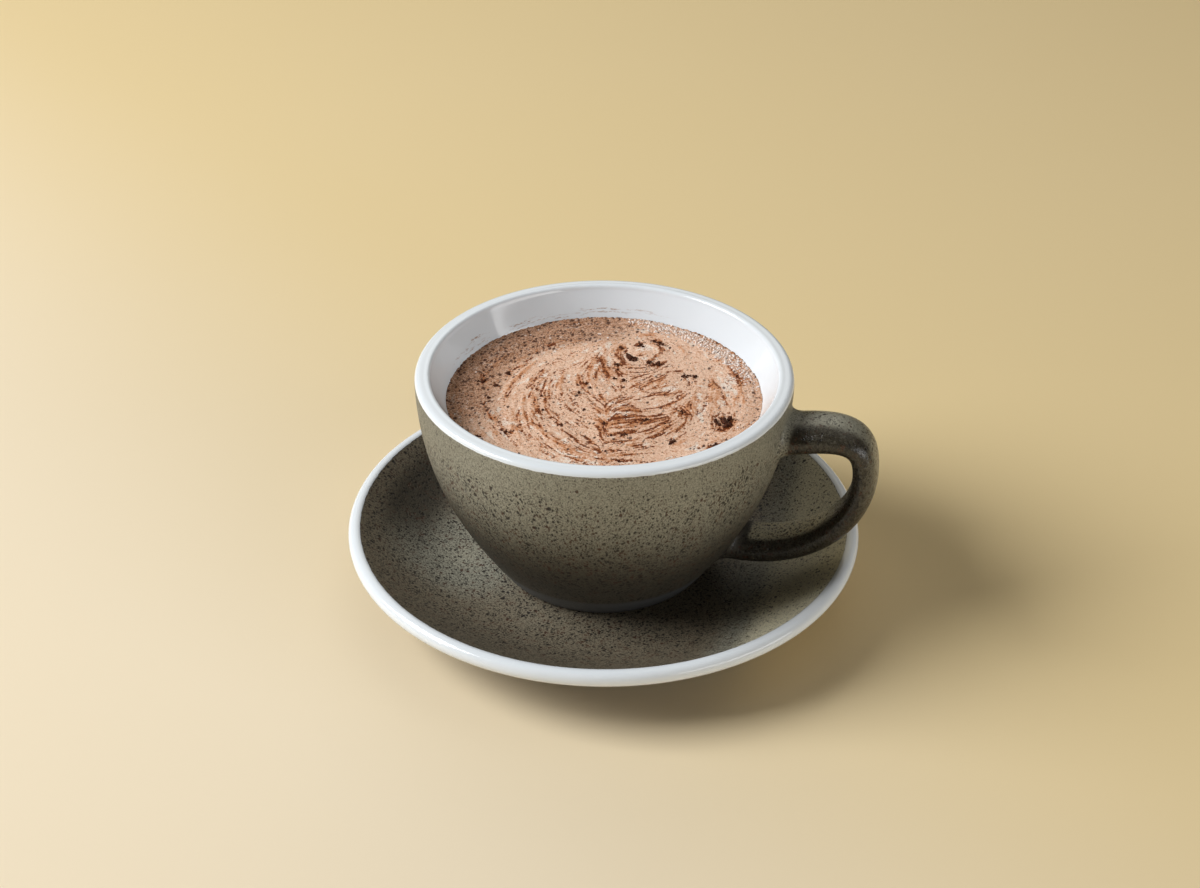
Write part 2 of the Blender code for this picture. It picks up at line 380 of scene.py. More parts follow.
# The strap's places are (distance from the cup's axis, z).
HANDLE_TIP = (78.2 * MM, 49.1 * MM)
HANDLE_TIP_HALF = 3.6 * MM
HANDLE_WIDTH_RATIO = 1.95
HANDLE_FILLET = 3.5 * MM
HANDLE_SIDES = 40
HANDLE_SQUARENESS = 2.4
UPPER_ARM = ((51.5 * MM, 58.7 * MM), (70.0 * MM, 63.7 * MM), (78.2 * MM, 64.3 * MM), HANDLE_TIP)
LOWER_ARM = ((36.0 * MM, 20.0 * MM), (63.2 * MM, 16.5 * MM), (78.2 * MM, 34.6 * MM), HANDLE_TIP)
UPPER_HALF = 4.6 * MM
LOWER_HALF = 4.1 * MM
LOWER_WALL_LEAN = math.radians(30)
ARM_RINGS = 60
RING_CROWDING = 1.6
WALL_SEARCH = 0.6
WALL_CUT = 1.35


def cup_inside(steps):
    """The cup's inside from the foot of its lip to the middle of its floor."""
    down = (-math.sin(INNER_WALL_LEAN), -math.cos(INNER_WALL_LEAN))
    lip = (CUP_LIP_RADIUS + CUP_LIP_HALF * down[1], CUP_LIP_Z - CUP_LIP_HALF * down[0])
    level = (FOAM_RADIUS, FOAM_Z)
    level_pull = (level[0] + FOAM_LEVEL_PULL * down[0], level[1] + FOAM_LEVEL_PULL * down[1])
    neck = bezier((level, level_pull, (NECK[0], NECK[1] + NECK_PULL), NECK), steps)
    bowl = bezier((NECK, *BOWL_PULLS, (0, CUP_FLOOR_Z)), 2 * steps)
    return joined(straight(lip, level, steps), neck, bowl)


def cup_profile(outside):
    stops = (math.pi - INNER_WALL_LEAN, QUARTER, 0)
    lip = squared_lip((CUP_LIP_RADIUS, CUP_LIP_Z), CUP_LIP_HALF, stops, CUP_LIP_BULGE, 18)
    foot_centre = (CUP_FOOT_RADIUS - CUP_FOOT_ROUND, CUP_FOOT_Z + CUP_FOOT_ROUND)
    foot = arc(foot_centre, CUP_FOOT_ROUND, math.radians(-20), -QUARTER, 8)
    foot_in = CUP_FOOT_RADIUS - CUP_FOOT_WIDTH
    hollow_z = CUP_FOOT_Z + CUP_RECESS
    under = joined([(foot_in, CUP_FOOT_Z)], straight((foot_in - RECESS_SLOPE, hollow_z), (0, hollow_z), 6))
    return joined(reversed(cup_inside(10)), lip, outside, foot, under)


cup_outside = bezier(((CUP_LIP_RADIUS + CUP_LIP_HALF, CUP_LIP_Z), *CUP_BELLY_PULLS, CUP_WAIST), 60)
outside_radii, outside_heights = zip(*reversed(cup_outside))


def wall_radius(z):
    """The cup's outer radius at a height."""
    return float(np.interp(z, outside_heights, outside_radii))


def rounded(value):
    """Cosine or sine drawn out, which gives the strap's oval its flatter sides."""
    return math.copysign(abs(value) ** (2 / HANDLE_SQUARENESS), value)


def strap_point(arm, root_half, heading, angle, t):
    """A point on the plain strap, and the direction in which a fillet swells it."""
    x, z = bezier_at(arm, t)
    ahead_x, ahead_z = bezier_at(arm, t + 0.001)
    along = Vector((ahead_x - x, 0, ahead_z - z)).normalized() * heading
    across = Vector((along.z, 0, -along.x))
    half = root_half + (HANDLE_TIP_HALF - root_half) * t * t * (3 - 2 * t)
    side = Vector((0, half * HANDLE_WIDTH_RATIO * rounded(math.sin(angle)), 0))
    swell = across * math.cos(angle) + Vector((0, math.sin(angle), 0))
    return Vector((x, 0, z)) + across * half * rounded(math.cos(angle)) + side, swell


def clearance(point):
    """How far a point stands out from the cup's wall, along the strap."""
    return point.x - math.sqrt(max(wall_radius(point.z) ** 2 - point.y ** 2, 0))


def strap_line(arm, root_half, wall_lean, heading, angle):
    """One line of the strap's skin, from the wall to the tip, with its fillet at the wall."""
    low, high = 0, WALL_SEARCH
    for _ in range(30):
        middle = (low + high) / 2
        inside = clearance(strap_point(arm, root_half, heading, angle, middle)[0]) < 0
        low, high = (middle, high) if inside else (low, middle)
    line = []
    for i in range(ARM_RINGS + 1):
        t = high + (1 - high) * (i / ARM_RINGS) ** RING_CROWDING
        point, swell = strap_point(arm, root_half, heading, angle, t)
        clear = max(clearance(point), 0) * math.cos(wall_lean) / HANDLE_FILLET
        if clear < 1:
            point = point + swell * HANDLE_FILLET * (1 - math.sqrt(1 - (1 - clear) ** 2))
            on_wall = wall_radius(point.z) / math.hypot(point.x, point.y)
            snapped = Vector((point.x * on_wall, point.y * on_wall, point.z))
            point = point.lerp(snapped, (1 - clear) ** 2)
        line.append(point)
    return line


def strap_rings(work, arm, root_half, wall_lean, heading):
    """Rings of vertices round the strap, the first one on the wall."""
    turns = [2 * math.pi * k / HANDLE_SIDES for k in range(HANDLE_SIDES)]
    lines = [strap_line(arm, root_half, wall_lean, heading, angle) for angle in turns]
    rings = []
    for i in range(ARM_RINGS + 1):
        rings.append([work.verts.new((line[i].x + AXIS_X, line[i].y, line[i].z)) for line in lines])
    return rings


def ring_edges(work, ring):
    """The edges from each vertex of a ring to the next."""
    pairs = zip(ring, ring[1:] + ring[:1])
    return [work.edges.get(pair) or work.edges.new(pair) for pair in pairs]


def open_wall(work, ring):
    """Cuts the wall away under a strap's first ring, and joins the ring to the cut."""
    z_values = [vert.co.z for vert in ring]
    middle_z = (min(z_values) + max(z_values)) / 2
    half_z = (max(z_values) - min(z_values)) / 2
    half_y = max(abs(vert.co.y) for vert in ring)
    under = []
    for face in work.faces:
        spot = face.calc_center_median()
        near = spot.x > 0 and spot.x - AXIS_X > wall_radius(spot.z) * 0.5
        outer = math.hypot(spot.x - AXIS_X, spot.y) > wall_radius(spot.z) - 1.0 * MM
        inside = (spot.y / half_y) ** 2 + ((spot.z - middle_z) / half_z) ** 2 < WALL_CUT
        if near and outer and inside and ring[0] not in face.verts:
            under.append(face)
    rim = {edge for face in under for edge in face.edges if sum(f in under for f in edge.link_faces) == 1}
    loop = ring_edges(work, ring)
    bmesh.ops.delete(work, geom=under, context="FACES")
    bmesh.ops.bridge_loops(work, edges=list(rim) + loop)


work = turned(cup_profile(cup_outside))
upper = strap_rings(work, UPPER_ARM, UPPER_HALF, 0, 1)
lower = strap_rings(work, LOWER_ARM, LOWER_HALF, LOWER_WALL_LEAN, -1)
for ring in (upper[0], lower[0]):
    open_wall(work, ring)
rings = upper + lower[-2::-1]
for near, far in zip(rings, rings[1:]):
    for k in range(HANDLE_SIDES):
        after = (k + 1) % HANDLE_SIDES
        work.faces.new((near[k], near[after], far[after], far[k]))
for vert in lower[-1]:
    work.verts.remove(vert)
bmesh.ops.recalc_face_normals(work, faces=work.faces)

RESIDUE_BROWN = (0.36, 0.18, 0.10, 1)
RESIDUE_RISES = (2.3 * MM, 1.2 * MM)
FOOT_GREY = (0.115, 0.12, 0.13, 1)


def cup_paint(place):
    radius, z = from_axis(place.shaken(3 * MM, 0.3 * MM))
    out = radius - CUP_LIP_RADIUS
    up = z - CUP_LIP_Z
    over_line = (up * math.cos(GLAZE_LINE) - out * math.sin(GLAZE_LINE)).step(-0.12 * MM, 0.12 * MM)
    within = (up * 0.35 - out).step(-0.1 * MM, 0.1 * MM) * z.step(11 * MM, 12 * MM)
    white = over_line.maths("MAXIMUM", within)

    # The handle is what stands out past the belly, low down from nearer in, within the strap's width.
    x, y, height = place.parts()
    lower_arm = radius.step(44.0 * MM, 47.0 * MM) * z.fall(28 * MM, 34 * MM)
    handle = (radius.step(56.0 * MM, 58.5 * MM) + lower_arm).step(0, 1) * x.step(20 * MM, 30 * MM)
    handle = handle * y.maths("ABSOLUTE").fall(9 * MM, 12 * MM)
    body = 1 - handle
    side = handle * (-1 * y).step(1.5 * MM, 5.0 * MM)
    # The lower arm's top is painted pale as painted light.
    painted_light_arm = handle * y.step(-6.0 * MM, -2.0 * MM) * z.fall(26 * MM, 38 * MM) * z.step(17 * MM, 23 * MM)

    # The specks crowd low on the belly, at its left and right and on the handle, and leave the foot free.
    low = z.fall(26 * MM, 60 * MM)
    belt = z.step(15 * MM, 21 * MM) * z.fall(30 * MM, 40 * MM)
    bare = z.fall(13.0 * MM, 15.5 * MM) * body
    to_left = (-1 * x).step(10 * MM, 50 * MM)
    upper = z.fall(58 * MM, 66 * MM) * (0.55 + to_left * 0.5 + x.step(20 * MM, 45 * MM) * 0.3)
    burnt = (upper + belt * 0.45 + low * 0.5 + handle * 0.35 - painted_light_arm * 0.8) * (1 - bare)

    # Painted shade darkens the low belly, together with its darker glaze there; the belly is also darker
    # towards the left and the right.
    belly_soot_and_shade = low * 0.8 + to_left * 0.34 + x.step(25 * MM, 50 * MM) * 0.16
    mottled = place.noise(0.9 * MM, 4.0, 0.75).step(0.36, 0.60)
    # Painted shade also darkens the strap's near side, which faces away from the light, along with its
    # mottled dark glaze.
    side_soot_and_shade = side * (0.7 + mottled * 0.3) * (1 - x.step(74 * MM, 82 * MM) * 0.6) * (1 - painted_light_arm)
    soot_and_shade = body * belly_soot_and_shade + handle * 0.12 + side_soot_and_shade
    tone = low * 0.5 * body - painted_light_arm * 1.6
    colour, roughness, relief = speckled_glaze(place, white, tone, burnt, soot_and_shade * (1 - white))
    roughness = roughness - handle * 0.2
    colour = (bare * 0.85 * (1 - white)).between(colour, FOOT_GREY)

    # Where the drink stood higher, it left thin broken brown lines on the wall at the left and the back.
    turn = y.maths("ARCTAN2", x - AXIS_X)
    wall = place.node("ShaderNodeCombineXYZ", {}, {0: turn * 12 * MM, 1: height, 2: 0.0})
    wander = (wall.noise(4 * MM) - 0.5) * (4.0 * MM) + (wall.noise(0.8 * MM) - 0.5) * (1.6 * MM)
    broken = wall.noise(0.5 * MM, 3.0, 0.75).step(0.44, 0.60) * wall.noise(2.5 * MM).step(0.42, 0.56)
    rise = height - FOAM_Z + wander
    high_line, low_line = ((rise - lift).maths("ABSOLUTE") for lift in RESIDUE_RISES)
    low_line = low_line.fall(0.05 * MM, 0.35 * MM) * 0.7
    line = high_line.fall(0.1 * MM, 0.5 * MM).maths("MAXIMUM", low_line)
    where = turn.step(1.3, 1.9) * turn.fall(3.0, 3.14) * radius.fall(49.5 * MM, 50.5 * MM)
    residue = line * broken * where * white
    colour = (residue * 0.85).between(colour, RESIDUE_BROWN)
    return colour, roughness, relief + residue * 0.05


cup = finished("cup_glazed", work, finish("cup_glaze", cup_paint))
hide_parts("cup")
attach(cup, "root")

# ---------------------------------------------------------------------------
# Mocha
# Coffee, chocolate and steamed milk under a layer of fine foam. The pour drew the
# foam into a leaf, and cocoa lies along its lines. Bubbles stay open at the edge.
# ---------------------------------------------------------------------------
FOAM_RINGS = 154
FOAM_OVERLAP = 0.15 * MM
FOAM_SHINE = 0.22
DRINK_GAP = 0.3 * MM

# The pattern in the foam is worked out on a square grid, in mm from the cup's axis.
FIELD_STEP = 0.2
FIELD_HALF = 48.0
FIELD_CELLS = int(2 * FIELD_HALF / FIELD_STEP)
LEAF_MIDDLE = (3, -4)
LEAF_HALVES = (27, 33)
LINE_SWAY = 0.385
LINE_SOFTNESS = 0.28
chance = np.random.default_rng(7)

# Each line of the pattern: how dark it is, how wide it is in mm, and its course in mm from the cup's axis.
LEAF_LINES = (
    (0.4, 0.8, (7, -30), (5, -20), (3, -8), (4.5, 0), (5, 6), (4, 10)),
    (1.0, 0.8, (6.5, -30), (1, -27.5), (-4, -24), (-9, -20.5), (-12.5, -17), (-15.5, -12.5), (-17.5, -7)),
    (0.8, 0.5, (-17.5, -7), (-18.8, -2), (-19.2, 3), (-18.5, 7), (-17.3, 10.2), (-15, 14)),
    (0.9, 0.8, (5, -23), (1, -21.5), (-3, -19.5), (-8, -16), (-12, -11)),
    (0.8, 0.8, (5, -26), (0, -24), (-4, -21.5), (-9, -18), (-14, -12)),
    (0.8, 1.0, (3, -17), (-2, -13.5), (-7, -10.5), (-11, -6.5), (-13, -2)),
    (0.8, 0.9, (3, -9), (-1, -5.5), (-4, -3), (-6, -1), (-9, -0.5)),
    (0.9, 0.8, (1, -4), (-3, 0.5), (-5, 3.5), (-7, 5.5), (-8.7, 8.5), (-9.5, 12), (-9, 15)),
    (0.8, 0.8, (3, 2), (-1, 6), (-3, 11), (-5.5, 16), (-6.5, 19.5)),
    (0.8, 0.8, (4, 9.5), (1, 13), (-1, 16), (-0.8, 18.5)),
    (0.5, 0.9, (2, -13), (-5, -8), (-10, -2), (-13, 4), (-13.5, 9)),
    (0.9, 0.8, (7.5, -29), (11, -27), (16, -25), (21, -20.5), (24.5, -15), (27, -9), (26.5, -4),
     (24, -1.5)),
    (1.0, 0.8, (7, -21), (10.5, -19), (13, -18), (17, -14), (20, -10), (21.5, -9), (22, -6.5)),
    (0.9, 0.8, (6, -25), (11, -23), (16, -20), (20, -16), (23.5, -11)),
    (0.8, 0.8, (5, -16), (9, -14), (13, -12), (18, -8), (21, -6)),
    (0.8, 0.8, (5, -12.5), (9, -11), (13, -8), (15, -8), (18.5, -5)),
    (0.8, 0.9, (3, -8), (6, -5), (8, -4.5), (12, -5)),
    (0.9, 0.9, (3, -4), (6, 0), (9.5, 1), (13, 4), (17, 5), (18, 7)),
    (0.8, 0.5, (13, -4), (16, -2.5), (19, 0), (21, 4), (22.5, 8), (22.8, 12), (22, 15.5), (20, 17.5)),
    (0.8, 0.6, (20, 17.5), (18.5, 19.5), (16, 18.5), (14, 14), (11, 10), (8, 6)),
    (0.9, 0.8, (5, 6), (8, 9), (11, 13), (12.5, 17), (14, 21), (15.5, 23)),
    (0.8, 0.8, (5, 10), (7, 13), (9, 17), (10, 21)),
    (0.5, 0.9, (6, 2), (11, 5), (15, 9), (17, 13)),
    (0.7, 0.6, (0, 27), (1, 23), (4, 21.5), (8, 22.5), (10, 26), (10, 31), (7, 34), (3, 33), (0.5, 30)),
    (0.35, 0.6, (-2, 29), (-2.5, 24), (0.5, 19), (5, 17.5), (10, 19), (13.5, 24), (13, 31), (9, 36),
     (3, 36)),
    (1.0, 0.8, (4.5, 34), (6.5, 35), (9, 34.5), (11, 33)),
    (0.6, 1.1, (2, 16), (7, 17.5), (12, 21), (15, 26)),
    (0.6, 0.9, (1, 13), (6, 14), (12, 18), (17, 24)),
    (0.5, 1.1, (10, 33), (12.5, 29), (12, 25), (9, 22.5)),
    (0.6, 0.8, (-5, -36), (-12, -31), (-18, -25), (-21, -18), (-23, -10), (-23.5, -4), (-22, 4), (-22, 10)),
    (0.8, 0.7, (-22, 10), (-20, 15.5), (-17, 19.5), (-14.5, 22)),
    (1.1, 0.6, (-19, 16), (-17, 19), (-14.5, 22)),
    (0.6, 1.0, (-15, -34), (-20, -29), (-24, -23), (-26.5, -16), (-28, -9), (-27.5, 0), (-26, 6)),
    (0.7, 0.7, (-22, -27), (-30, -19), (-32, -14), (-33, -8), (-32, -2), (-31.5, 4), (-29.5, 9)),
    (0.9, 0.8, (-29.5, 9), (-27, 15), (-24, 23), (-22.5, 25)),
    (0.9, 0.8, (-38, 5), (-37.5, 0), (-36.5, -3)),
    (0.55, 0.6, (29, 15), (32, 11.5), (34, 7), (35.5, 4)),
    (0.5, 1.0, (27, 18), (29, 8), (29.5, 0), (29, -8), (27, -13), (24, -19)),
    (0.8, 0.7, (9.5, -34.5), (13, -33), (19, -31.5), (24, -29), (29, -25), (33, -21), (37, -17),
     (39.5, -12)),
    (1.2, 0.7, (35, -20), (38.5, -16)),
    (2.2, 1.4, (34, -2), (36.5, -1), (38.5, -5), (37, -9), (34.5, -8), (34, -2)),
    (0.7, 0.8, (-9, -41), (0, -38.5), (9, -38), (18, -36), (26, -32)),
    (0.6, 1.0, (-2, -34), (6, -35.5), (14, -36)),
    (0.7, 1.6, (27, 30), (32, 26), (36, 20), (38, 14)),
)

# Each lump of cocoa that fell on it: its place in mm from the cup's axis, and half its width in mm.
CLUMPS = (
    (37, -5, 1.9), (2, 23, 1.4), (-2, 28, 0.9), (3, 31, 0.9), (8, 34, 1.0), (8, 22, 0.8),
    (11, 22, 0.9), (-1, 18, 0.8), (20, 17, 0.8), (23, 17, 0.9), (15, -10, 0.8), (11, -19, 0.8),
    (37, -18, 0.9), (25, -19, 0.9), (24, -3, 0.8), (4, -15, 0.7), (-31, 4, 0.8), (-37, -2, 0.9),
    (-32, -3, 0.8), (-22, -27, 0.9), (-29, -31, 0.8),
)
CRUMBS = (
    (0.3, 9.8, 0.6), (3.5, 9.7, 0.7), (-6.8, 5, 0.6), (-32.5, -10.5, 0.6), (-20.7, 1.5, 0.4),
    (-17.5, -5.4, 0.6), (-15.1, -12.6, 0.5), (-7.6, -19, 0.7), (-10.9, -23.5, 0.5), (20.9, -10.5, 0.5),
    (-3.8, -9.1, 0.5), (-7.5, -0.8, 0.6), (24.5, -20.5, 0.5), (7.5, -20.5, 0.6), (8, -29, 0.5),
    (13, -33, 0.5), (-15, -36.5, 0.5), (0.8, 24.5, 0.7), (3.2, 21.6, 0.6), (36, -7, 0.7),
    (38.2, -3.4, 0.6), (-37.6, 1, 0.5), (-9, 3.4, 0.5),
    (9.5, 33.2, 0.6), (6.3, 34.8, 0.6), (21.2, 17.4, 0.5), (9.7, 21.0, 0.5), (-5, 3, 0.5), (0, 15, 0.5),
)


def drawn_out(points):
    """Points every 0.1 mm or so on a smooth course through a line's points, and the course's direction."""
    points = np.array(points, float)
    ends = np.vstack([2 * points[0] - points[1], points, 2 * points[-1] - points[-2]])
    course = []
    for a, b, c, d in zip(ends, ends[1:], ends[2:], ends[3:]):
        t = np.linspace(0, 1, max(2, int(math.dist(b, c) * 10)), endpoint=False)[:, None]
        bend = (2 * a - 5 * b + 4 * c - d) * t ** 2 + (3 * b - a - 3 * c + d) * t ** 3
        course.append(b + ((c - a) * t + bend) / 2)
    course = np.vstack(course)
    heading = np.gradient(course, axis=0)
    return course, np.arctan2(heading[:, 1], heading[:, 0])


def softened(field, size):
    """Blurs a field of the foam by a size in mm."""
    turn = np.fft.fftfreq(FIELD_CELLS, FIELD_STEP)
    pass_low = np.exp(-2 * (math.pi * size) ** 2 * (turn[:, None] ** 2 + turn[None, :] ** 2))
    return np.fft.ifft2(np.fft.fft2(field) * pass_low).real


def level(field):
    """Brings a field to a mean of 0 and a spread of 1."""
    return (field - field.mean()) / field.std()


def random_field(size):
    """A level field of random lumps of a size in mm."""
    return level(softened(chance.normal(size=cell_x.shape), size))


def cell_at(place):
    """The number of the field's cell at a place in mm, with its fraction."""
    return (place + FIELD_HALF) / FIELD_STEP


def read(field, x, y):
    """The value of a field at places in mm, from its four nearest cells."""
    u, v = (np.clip(cell_at(place), 0, FIELD_CELLS - 1.001) for place in (x, y))
    i, j = u.astype(int), v.astype(int)
    s, t = u - i, v - j
    low = field[i, j] * (1 - s) + field[i + 1, j] * s
    high = field[i, j + 1] * (1 - s) + field[i + 1, j + 1] * s
    return low * (1 - t) + high * t


def ease(value, low, high):
    """0 below low, 1 above high, with an easy slope between."""
    t = np.clip((value - low) / (high - low), 0, 1)
    return t * t * (3 - 2 * t)


def combed(field, flow, reach):
    """Draws a field out along the flow of the foam, as stirring does, by a reach in mm."""
    total = field.copy()
    for way in (1, -1):
        x, y = cell_x.copy(), cell_y.copy()
        ahead_x, ahead_y = way * np.cos(flow), way * np.sin(flow)
        for _ in range(int(reach / FIELD_STEP)):
            x += ahead_x * FIELD_STEP
            y += ahead_y * FIELD_STEP
            i, j = (np.clip(cell_at(place).astype(int), 0, FIELD_CELLS - 1) for place in (x, y))
            next_x, next_y = np.cos(flow[i, j]), np.sin(flow[i, j])
            same = np.where(next_x * ahead_x + next_y * ahead_y < 0, -1, 1)
            ahead_x, ahead_y = next_x * same, next_y * same
            total += read(field, x, y)
    return total


cells = np.arange(FIELD_CELLS) * FIELD_STEP - FIELD_HALF
cell_x, cell_y = np.meshgrid(cells, cells, indexing="ij")
cell_radius = np.hypot(cell_x, cell_y)

# Each line is drawn thin and as a broad band. The flow follows the lines near them, and circles the cup
# near its wall. Its angle is kept doubled, so that a line's two directions don't cancel out.
twice_x, twice_y = np.zeros_like(cell_x), np.zeros_like(cell_x)
lines, bands = np.zeros_like(cell_x), np.zeros_like(cell_x)
sways = [LINE_SWAY * random_field(1.6) for _ in range(2)]
for strength, width, *points in LEAF_LINES:
    course, heading = drawn_out(points)
    swayed = [along + read(sway, *course.T) for along, sway in zip(course.T, sways)]
    spot = tuple(np.rint(cell_at(place)).astype(int) for place in swayed)
    np.add.at(twice_x, spot, np.cos(2 * heading))
    np.add.at(twice_y, spot, np.sin(2 * heading))
    stroke = np.zeros_like(cell_x)
    stroke[spot] = 1
    thin = softened(stroke, LINE_SOFTNESS)
    broad = softened(stroke, width)
    lines = np.maximum(lines, strength * thin / thin.max())
    bands = np.maximum(bands, strength * broad / broad.max())
round_wall = np.arctan2(cell_y, cell_x) + QUARTER
wall_pull = 0.002 + 0.05 * ease(cell_radius, 33, 44)
along_x = softened(twice_x, 1.3) + 0.4 * softened(twice_x, 4) + wall_pull * np.cos(2 * round_wall)
along_y = softened(twice_y, 1.3) + 0.4 * softened(twice_y, 4) + wall_pull * np.sin(2 * round_wall)
flow = np.arctan2(along_y, along_x) / 2

# Random fields that break up the pattern. Hairs, wisps and flecks are drawn out along the flow.
hairs = level(combed(random_field(0.14), flow, 1.6))
wisps = level(combed(random_field(0.42), flow, 5.0))
clouds = random_field(3.0)
crumbs = random_field(0.2)
flecks = level(combed(random_field(0.35), flow, 1.0))

# Where the leaf, the froth at the left with painted shade from the cup's wall, and the cocoa spilt round
# the clumps are.
near_lines = softened(bands, 0.4)
leaf_x = (cell_x - LEAF_MIDDLE[0]) / LEAF_HALVES[0]
leaf_y = (cell_y - LEAF_MIDDLE[1]) / LEAF_HALVES[1]
inside_leaf = ease(1 - np.hypot(leaf_x, leaf_y), -0.05, 0.12)
# At the left and the back the foam is browner, partly froth and partly painted shade of the cup's wall.
froth_and_shade_left = ease(cell_radius, 27, 36) * ease(-0.9 * cell_x + 0.4 * cell_y, 8, 28)
halo = np.zeros_like(cell_x)
for x, y, half in CLUMPS:
    halo = np.maximum(halo, np.exp(-np.hypot(cell_x - x, cell_y - y) ** 2 / (2 * (0.6 + 1.1 * half) ** 2)))

# The marks that the foam's paint and the scattered grains read: cocoa on the lines, tan foam near them,
# pale flecks between them, froth at the edge and at the left (there also painted shade), grains on the
# cocoa, bubbles at the back.
broken = ease(wisps + 0.5 * crumbs + 0.7 * clouds, -1.3, 1.0)
cocoa = 2.6 * lines * (0.1 + 0.9 * broken) + near_lines * (1.0 * hairs + 0.4 * wisps + 0.35)
cocoa += (inside_leaf * (0.65 * hairs + 0.25 * wisps + 0.2) + 0.25 * hairs + 0.25 * clouds
          + 0.9 * halo)
streak = ease(cocoa + (0.25 + 0.8 * near_lines) * crumbs, 0.4, 2.7)
tan = ease(near_lines * 0.9 + 0.6 * wisps + 0.4 * hairs + 0.5 * clouds + 0.4 * inside_leaf + halo, 0.2, 2.4)
pale = ease(0.9 * flecks - 0.4 * wisps + 0.4 * clouds - 0.5 * near_lines, 0.4, 2.0)
froth_and_shade = np.maximum(froth_and_shade_left, ease(cell_radius, 39, 45) * 0.5)
dusted = np.clip(streak * 0.8 + near_lines * 0.35, 0, 1) ** 1.5
to_back = ease(0.52 * cell_x + 0.85 * cell_y, 33, 42)
bubbly = ease(cell_radius, 39, 44) * (1 - ease(cell_radius, 45.6, 46.0)) * to_back + 0.006 * froth_and_shade


def foam_places():
    """The foam's top as rings of six, twelve, eighteen and so on, and the faces between them."""
    places = [(0.0, 0.0)]
    faces = []
    start = [0]
    for ring in range(1, FOAM_RINGS + 1):
        start.append(len(places))
        angles = np.arange(6 * ring) * (2 * math.pi / (6 * ring))
        radius = (FOAM_RADIUS + FOAM_OVERLAP) * ring / FOAM_RINGS
        places.extend(zip(radius * np.cos(angles), radius * np.sin(angles)))
        for sixth in range(6):
            for k in range(ring):
                outer = start[ring] + (sixth * ring + k)
                outer_next = start[ring] + (sixth * ring + k + 1) % (6 * ring)
                inner_count = 6 * (ring - 1)
                inner = start[ring - 1] + ((sixth * (ring - 1) + k) % inner_count if inner_count else 0)
                faces.append((inner, outer, outer_next))
                if k < ring - 1:
                    inner_next = start[ring - 1] + (sixth * (ring - 1) + k + 1) % inner_count
                    faces.append((inner, outer_next, inner_next))
    return np.array(places), faces, start[-1]


def on_top(field):
    """A field's values at the foam's top places."""
    return read(field, top_x, top_y)


# The top swells a little, and clings to the wall at its edge. Below it, the drink follows the cup's inside.
top_places, foam_faces, edge_start = foam_places()
top_x, top_y = top_places[:, 0] / MM, top_places[:, 1] / MM
top_radius = np.hypot(top_x, top_y)
swell = 0.10 * on_top(clouds) + 0.05 * on_top(wisps) - 0.10 * on_top(streak)
cling = ease(top_radius, 45.0, 46.2) * (0.25 + 0.1 * on_top(crumbs) + 0.1 * on_top(clouds))
top_z = FOAM_Z + (swell * (1 - ease(top_radius, 44.5, 46)) + cling) * MM
foam_spots = np.column_stack([top_places[:, 0] + AXIS_X, top_places[:, 1], top_z])

edge_count = 6 * FOAM_RINGS
edge_angles = np.arange(edge_count) * (2 * math.pi / edge_count)
rows = [point for point in cup_inside(4) if 0.001 < point[0] < FOAM_RADIUS - 1 * MM]
above = edge_start
for radius, z in rows:
    below = len(foam_spots)
    row_x = (radius - DRINK_GAP) * np.cos(edge_angles) + AXIS_X
    row_y = (radius - DRINK_GAP) * np.sin(edge_angles)
    row = np.column_stack([row_x, row_y, np.full(edge_count, z + DRINK_GAP)])
    foam_spots = np.vstack([foam_spots, row])
    for k in range(edge_count):
        after = (k + 1) % edge_count
        foam_faces.append((above + k, below + k, below + after, above + after))
    above = below
foam_spots = np.vstack([foam_spots, [(AXIS_X, 0, rows[-1][1] + DRINK_GAP)]])
foam_faces.extend((above + (k + 1) % edge_count, above + k, len(foam_spots) - 1) for k in range(edge_count))

FOAM_CREAM = (0.94, 0.645, 0.475, 1)
FOAM_TAN = (0.68, 0.31, 0.15, 1)
FOAM_PALE = (0.97, 0.81, 0.69, 1)
COCOA_STREAK = (0.47, 0.145, 0.036, 1)
COCOA_DARK = (0.17, 0.035, 0.007, 1)
FROTH_AND_SHADE_BROWN = (0.33, 0.150, 0.070, 1)
PAINTED_SHADE_PIT = (0.075, 0.022, 0.010, 1)
BUBBLE_SQUEEZE = (1, 0.65, 1)


def powder(place, size):
    """A chance from 0 to 1 for each grain of a powder of this size."""
    grain = place.node("ShaderNodeTexVoronoi", {}, {"Vector": place, "Scale": 1 / size}, "Color")
    return grain.parts()[0]


